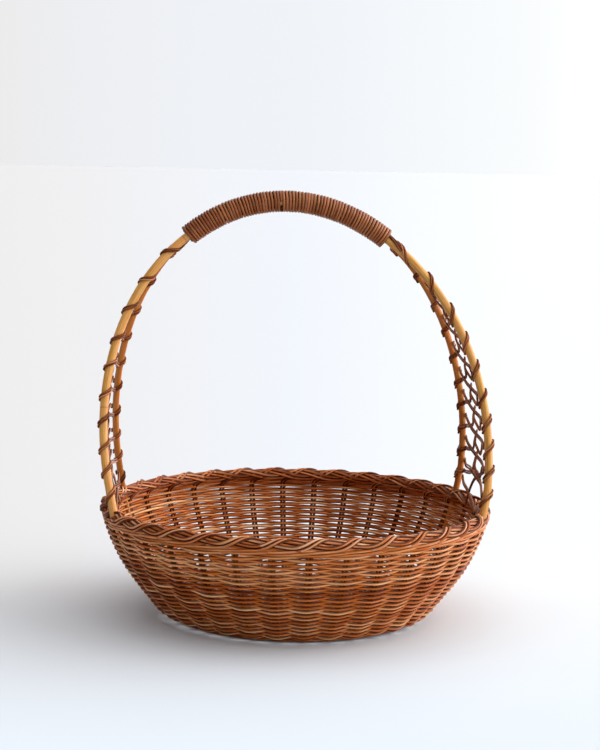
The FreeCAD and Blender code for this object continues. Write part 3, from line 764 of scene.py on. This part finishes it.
def coil(strands, start, end, phase, tone):
    """Helix of binding strand round the bundle between two places on the arch."""
    samples = np.linspace(start, end, 400)
    centre = np.array([arch_point(a) for a in samples])
    length = np.concatenate([[0], np.cumsum(np.linalg.norm(np.diff(centre, axis=0), axis=1))])
    turns = length[-1] / BINDING_PITCH
    count = int(turns * 22)
    turn = np.linspace(0, turns, count)
    pitch_noise = wobble(turn, 0.12, (0.7, 1.3, 2.9))
    at = np.interp((turn + pitch_noise) * BINDING_PITCH, length, samples)
    middle = np.array([arch_point(a) for a in at])
    along = np.array([unit(np.array([ARCH_HALF_WIDTH * math.cos(a), 0, -ARCH_HALF_HEIGHT * math.sin(a)]))
                      for a in at])
    up = np.stack([-along[:, 2], np.zeros(count), along[:, 0]], -1)
    side = np.array([0.0, 1, 0])
    spin = TAU * turn + phase
    # The bundle is two rods side by side and two fillers, so its section is a soft square.
    squareness = 1 + 0.025 * np.cos(4 * spin)
    out = up * np.sin(spin)[:, None] + side * np.cos(spin)[:, None]
    radius = (BINDING_RADIUS_R + wobble(turn, 0.12, (0.5, 1.1, 2.3))) * squareness
    line = middle + out * radius[:, None]
    strands.add(line, 1.5 * (1 + wobble(turn, 0.05, (0.6, 1.7))), 8, tone=tone, face=out, flat=0.72)
    return line


def build_grip():
    ends = (-GRIP_HALF_ANGLE,) + BINDING_SPLITS + (GRIP_HALF_ANGLE,)
    for i, part in enumerate(("left", "middle", "right")):
        binding = Strands()
        coil(binding, ends[i] + BINDING_GAP, ends[i + 1] - BINDING_GAP, rng.uniform(0, TAU), 0.48 + 0.05 * i)
        binding.build("grip_binding_" + part + "_coil", cane["binding_cane"], "binding_cane",
                      ["grip_binding_" + part])
    for part, offset in (("upper", FILLER_OFFSET), ("lower", -FILLER_OFFSET)):
        filler = Strands()
        t = np.linspace(-GRIP_HALF_ANGLE, GRIP_HALF_ANGLE, 50)
        filler.add([arch_point(a, offset) for a in t], FILLER_RADIUS, 10, tone=0.5)
        node = "grip_filler_" + part
        filler.build(node + "_cane", cane["filler_cane"], "filler_cane", [node])


# ---- lacing ----

# A turn's way round a rod: (degrees round from +X towards the front, rise). Every band slopes up to
# the right.
TURN_PATHS = {
    (-1, -1): ((268, -5.5), (225, -7.4), (180, -6.5), (90, -2.0), (0, 3.4), (-40, 4.8)),
    (-1, 1): ((150, -2.2), (90, -0.2), (20, 3.4), (-20, 4.5), (-90, 6.0), (-150, 6.4), (-178, 6.2)),
    (1, -1): ((238, 4.0), (285, 6.0), (330, 7.8), (365, 6.6), (450, 0.0), (540, -6.8), (580, -8.0)),
    (1, 1): ((345, 13.5), (310, 10.0), (265, 3.5), (215, -4.0), (180, -3.4), (152, 1.0), (90, 2.4),
             (15, 3.2)),
}
# Degrees round the front rod at the start and the end of the strand that leaves the grip.
GRIP_LEADS = {-1: (-75, -10), 1: (20, 95)}
# A link's way over one cell: (across from the back rod, share of the pitch up, out from the panel)
LINK_PATH = (
    (0.20, 0.22, 0.8), (0.34, 0.32, 1.0), (0.42, 0.47, 0.6), (0.445, 0.74, 0.6), (0.50, None, 2.0),
    (0.54, 0.78, -1.2), (0.60, 0.53, -0.6), (0.66, 0.35, 0.9), (0.70, 0.60, 1.1), (0.74, 0.84, 0.8),
)


# On the left the links run up between the rods, nearer the front one.
LINK_PATH_LEFT = (
    (0.66, 0.28, 0.8), (0.57, 0.46, 1.0), (0.52, 0.66, 0.8), (0.55, 0.86, 1.2), (0.61, 1.02, 1.6),
    (0.58, 1.16, 0.5), (0.53, 1.32, -0.6),
)
# The ends of a rung: degrees round and rise on the back rod, then the same on the front rod.
RUNG_ENDS = {-1: (118, -1.5, -30, 5.0), 1: (345, 14.0, 200, 2.0)}
RUNG_STATIONS = (0.20, 0.36, 0.55, 0.75)
# Distances between the rods below which there is no room for a rung or a link.
RUNG_MIN_SPAN = 17.0
LINK_MIN_SPAN = 24.0


def leg_parameter(side_x, z):
    return side_x * arch_parameter(z)


def beside_rod(side_x, side_y, z, degrees):
    """Place of a lace strand's centre on a rod's skin, and the direction away from the rod there."""
    t = leg_parameter(side_x, z)
    up = rod_tangent(t, side_y)
    right = unit(np.array([1.0, 0, 0]) - up[0] * up)
    front = np.cross(right, up)
    away = math.cos(math.radians(degrees)) * right + math.sin(math.radians(degrees)) * front
    return rod_point(t, side_y) + away * (ROD_RADIUS[side_y] + LACE_RADIUS * 0.95), away


def panel_point(side_x, z, across, out=0.0):
    """Point between the rods at one height: across is 0 at the back rod's centre and 1 at the front rod's."""
    t = leg_parameter(side_x, z)
    back, front = rod_point(t, 1), rod_point(t, -1)
    outward = arch_point(t, 1.0) - arch_point(t)
    return back + (front - back) * across + outward * out


def add_pair(strands, line, away, spacing=1.0):
    """Two strands side by side along a line that lies on a surface with the given outward direction."""
    tangent = unit(np.gradient(line, axis=0))
    aside = unit(np.cross(away, tangent))
    share = np.linspace(0, 1, len(line))
    for shift in (-1, 1):
        drift = 0.25 * math.sin(rng.uniform(0, TAU)) * np.sin(math.pi * share)
        spread = LACE_PAIR_HALF * spacing * (1 + drift)
        strands.add(line + aside * shift * spread[:, None], LACE_RADIUS * rng.uniform(0.92, 1.05), 8,
                    tone=rng.uniform(0.25, 0.75), face=away)


def lace_turn(strands, side_x, side_y, z):
    """Two strands side by side round the rod, as one open loop whose ends leave for the lattice."""
    degrees, rise = np.array(TURN_PATHS[side_x, side_y], float).T
    keys = smooth_line(np.stack([degrees, rise, 0 * rise], -1), 10)
    stretch = rng.uniform(0.9, 1.12)
    places = [beside_rod(side_x, side_y, z + h * stretch, d) for d, h, _ in keys]
    line = np.array([p for p, _ in places])
    away = np.array([a for _, a in places])
    add_pair(strands, line, away, spacing=rng.uniform(0.95, 1.25))


def lace_lead(strands, side_x, top_z):
    """The doubled strand from the end of the grip binding along the front rod to the top turn."""
    start, end = GRIP_LEADS[side_x]
    places = [beside_rod(side_x, -1, z, degrees) for z, degrees in
              zip(np.linspace(GRIP_Z + 1, top_z + 2, 16), np.linspace(start, end, 16))]
    add_pair(strands, np.array([p for p, _ in places]), np.array([a for _, a in places]))


def rung_rise(side_x, k, across):
    """Height of rung k over the back turn, at a place across the panel."""
    if side_x < 0:
        return -3.0 + 7.0 * across
    middle = 9.5 * math.exp(-0.6 * k) - 1
    return float(np.interp(across, (0.0, 0.20, 0.36, 0.55, 0.75, 1.0),
                           (15.0, 12.5, middle + 4, middle, middle - 3.5, middle - 5.5)))


def out_of_panel(side_x, z):
    t = leg_parameter(side_x, z)
    return arch_point(t, 1.0) - arch_point(t)


def rods_apart(z):
    return rod_y(z, 1) + rod_y(z, -1)


def add_across(strands, side_x, z, keys, spacing=1.0):
    """A doubled strand through points in the panel between the rods."""
    line = smooth_line(keys, 6)
    add_pair(strands, line, np.broadcast_to(out_of_panel(side_x, z), line.shape), spacing)


def add_rung(strands, side_x, k, back_z, front_z):
    """Across the panel, from the back rod's turn to the front rod's."""
    start_deg, start_rise, end_deg, end_rise = RUNG_ENDS[side_x]
    keys = [beside_rod(side_x, 1, back_z + start_rise, start_deg)[0]]
    for across in RUNG_STATIONS:
        level = back_z + rung_rise(side_x, k, across)
        if side_x < 0:
            level += (front_z - back_z) * across
        keys.append(panel_point(side_x, level, across, rng.uniform(-0.3, 0.3)))
    keys.append(beside_rod(side_x, -1, front_z + end_rise, end_deg)[0])
    add_across(strands, side_x, back_z, keys)


def add_link(strands, side_x, k, back, front):
    """From one turn up to the next rung: hooked over it on the right leg, between the rods on the
    left."""
    pitch = back[k + 1] - back[k]
    if side_x > 0:
        hook_z = back[k + 1] + rung_rise(side_x, k + 1, 0.5) + 1.8
        keys = [beside_rod(side_x, 1, back[k] + 3.2, 15)[0]]
        for across, up, out in LINK_PATH:
            level = hook_z if up is None else back[k] + up * pitch
            keys.append(panel_point(side_x, level, across, out))
        keys.append(beside_rod(side_x, -1, front[k + 1] + 5.5, 238)[0])
    else:
        keys = [beside_rod(side_x, -1, front[k] + 5.0, -30)[0]]
        for across, up, out in LINK_PATH_LEFT:
            keys.append(panel_point(side_x, front[k] + up * pitch, across, out))
    add_across(strands, side_x, back[k], keys, spacing=0.95)


def build_lacing():
    for side_name, side_x in (("left", -1), ("right", 1)):
        heights = {}
        for rod_name, side_y in (("front", -1), ("back", 1)):
            first = LACE_FIRST_Z[side_x, side_y]
            heights[side_y] = [first + LACE_PITCH * k + LACE_PITCH_GROWTH * k * k + rng.uniform(-1.2, 1.2)
                               for k in range(LACE_TURNS)]
            turns = Strands()
            for z in heights[side_y]:
                lace_turn(turns, side_x, side_y, z)
            if side_y < 0:
                lace_lead(turns, side_x, heights[side_y][-1])
            node = "lace_turns_" + rod_name + "_" + side_name
            turns.build(node + "_strands", cane["lace_cane"], "lace_cane", [node])
        rungs, links = Strands(), Strands()
        for k, (back_z, front_z) in enumerate(zip(heights[1], heights[-1])):
            if rods_apart(back_z) >= RUNG_MIN_SPAN:
                add_rung(rungs, side_x, k, back_z, front_z)
        for k in range(LACE_TURNS - 1):
            if rods_apart(heights[1][k + 1]) >= LINK_MIN_SPAN:
                add_link(links, side_x, k, heights[1], heights[-1])
        build_lace_roots(links, side_x)
        for kind, strands in (("rungs", rungs), ("links", links)):
            node = "lace_" + kind + "_" + side_name
            strands.build(node + "_strands", cane["lace_cane"], "lace_cane", [node])


# The lowest lace strands, from the lattice down into the border: (across, height) as they fan out
LACE_ROOTS = (
    ((0.10, 131.0), (0.19, 124.7), (0.37, 121.0), (0.60, 113.0), (0.72, 107.0)),
    ((0.79, 149.3), (0.65, 143.6), (0.50, 136.0), (0.42, 124.0), (0.40, 108.0)),
    ((0.58, 145.5), (0.68, 141.0), (0.78, 133.0), (0.87, 122.0), (0.90, 108.0)),
)


def build_lace_roots(strands, side_x):
    for root in LACE_ROOTS:
        line = smooth_line([panel_point(side_x, z, across, 0.6) for across, z in root], 8)
        add_pair(strands, line, np.broadcast_to(out_of_panel(side_x, 125.0), line.shape))


build_stakes()
build_side_weave()
build_wales()
build_border()
build_base()
build_rods()
build_grip()
build_lacing()

# ---- floor, light and camera ----

# Floor colours from left to right: darker on the left as painted shade, paler on the right as painted light.
FLOOR_PAINTED_LIGHT_TINTS = ((0.0, (0.618, 0.607, 0.612)), (0.15, (0.626, 0.618, 0.624)), (0.49, (0.634, 0.656, 0.694)),
               (0.85, (0.705, 0.725, 0.742)))
# The tints fan out from a point in front of the basket; the near tint comes in over a strip.
FLOOR_FAN = (0.143, 1.89)
FLOOR_NEAR = (0.628, 0.675, 0.730)
FLOOR_NEAR_Y, FLOOR_NEAR_DEPTH = 0.10, 0.55
FLOOR_HALF = 30.0
CAMERA_PLACE = (-0.1434, -1.8905, 0.475)
CAMERA_TURN = [math.radians(a) for a in (4.4, 7.0, 1.2)]
SENSOR = 36.0
FOCAL_LENGTH = 1900.0 / 750 * SENSOR
# Light from all round, by direction from -X to +X.
SKY_STOPS = ((0.0, (0.10, 0.095, 0.09)), (0.30, (0.28, 0.27, 0.27)), (0.455, (0.84, 0.835, 0.84)),
             (0.49, (0.855, 0.87, 0.90)), (0.54, (0.872, 0.906, 0.95)), (0.60, (0.965, 0.985, 0.995)),
             (0.80, (2.6, 2.6, 2.6)), (1.0, (4.8, 4.75, 4.7)))
CEILING_LIGHT = (1.42, 1.45, 1.48)
CEILING_FROM, CEILING_TO = 0.45, 1.0
DAYLIGHT_ENERGY = 1.9
DAYLIGHT_SPREAD = math.radians(75)
DAYLIGHT_WAY = (-0.95, 0.14, -0.22)


def floor_material():
    """Pale floor, by its place only: painted shade makes it a little darker to the left, painted light makes
    it paler to the right, and it is bluish in front.
    """
    material = bpy.data.materials.new("floor")
    material.use_nodes = True
    n = Nodes(material)
    place = n.add("SeparateXYZ")
    n.join(n.add("NewGeometry").outputs["Position"], place.inputs[0])
    x, y = place.outputs[0], place.outputs[1]
    # Painted shade and light: the floor's colour runs from darker on the left to paler on the right.
    side = n.math("DIVIDE", n.math("ADD", x, FLOOR_FAN[0]), n.math("ADD", y, FLOOR_FAN[1]))
    share = n.math("DIVIDE", n.math("ADD", side, 0.09), 0.33, clamp=True)
    near = n.math("DIVIDE", n.math("SUBTRACT", FLOOR_NEAR_Y, y), FLOOR_NEAR_DEPTH, clamp=True)
    colour = n.mix(near, n.ramp(share, FLOOR_PAINTED_LIGHT_TINTS), FLOOR_NEAR)
    shader = n.add("BsdfPrincipled")
    n.join(colour, shader.inputs["Base Color"])
    shader.inputs["Roughness"].default_value = 0.8
    shader.inputs["Specular IOR Level"].default_value = 0.2
    n.join(shader.outputs[0], n.add("OutputMaterial").inputs[0])
    return material


def build_floor():
    mesh = bpy.data.meshes.new("floor")
    corners = [(x * FLOOR_HALF, y * FLOOR_HALF, 0) for x, y in ((-1, -1), (1, -1), (1, 1), (-1, 1))]
    mesh.from_pydata(corners, [], [(0, 1, 2, 3)])
    mesh.materials.append(floor_material())
    floor = bpy.data.objects.new("floor", mesh)
    bpy.context.scene.collection.objects.link(floor)


def build_camera():
    yaw, pitch, roll = CAMERA_TURN
    camera = bpy.data.cameras.new("camera")
    camera.sensor_fit = "VERTICAL"
    camera.sensor_height = SENSOR
    camera.lens = FOCAL_LENGTH
    camera.clip_end = 200
    holder = bpy.data.objects.new("camera", camera)
    forward = Vector((math.sin(yaw) * math.cos(pitch), math.cos(yaw) * math.cos(pitch), -math.sin(pitch)))
    turn = forward.to_track_quat("-Z", "Y").to_matrix() @ Matrix.Rotation(roll, 3, "Z")
    holder.matrix_world = Matrix.Translation(Vector(CAMERA_PLACE)) @ turn.to_4x4()
    bpy.context.scene.collection.objects.link(holder)
    bpy.context.scene.camera = holder


def build_world():
    """Soft daylight from all round, brighter from the right, weaker from behind the viewer."""
    world = bpy.data.worlds.new("studio")
    world.use_nodes = True
    n = Nodes(world)
    way = n.add("SeparateXYZ")
    n.join(n.add("TexCoord").outputs["Generated"], way.inputs[0])
    sky = n.ramp(n.spread(way.outputs["X"], -1.0, 1.0, 0.0, 1.0), SKY_STOPS)
    dimmed = n.add("VectorMath", operation="SCALE")
    n.join(sky, dimmed.inputs[0])
    n.join(n.spread(way.outputs["Y"], -0.5, 0.15, 0.38, 1.0), dimmed.inputs["Scale"])
    height = n.spread(way.outputs["Z"], CEILING_FROM, CEILING_TO, 0.0, 1.0, "SMOOTHSTEP")
    light = n.add("Background")
    n.join(n.mix(height, dimmed.outputs[0], CEILING_LIGHT), light.inputs[0])
    n.join(light.outputs[0], n.add("OutputWorld").inputs[0])
    bpy.context.scene.world = world


def build_daylight():
    """A broad soft light from the right."""
    light = bpy.data.lights.new("daylight", "SUN")
    light.energy = DAYLIGHT_ENERGY
    light.angle = DAYLIGHT_SPREAD
    light.color = (1.0, 0.985, 0.96)
    lamp = bpy.data.objects.new("daylight", light)
    lamp.rotation_euler = Vector(DAYLIGHT_WAY).to_track_quat("-Z", "Y").to_euler()
    bpy.context.scene.collection.objects.link(lamp)


build_floor()
build_world()
build_daylight()
bpy.context.scene.view_settings.view_transform = "Standard"
build_camera()
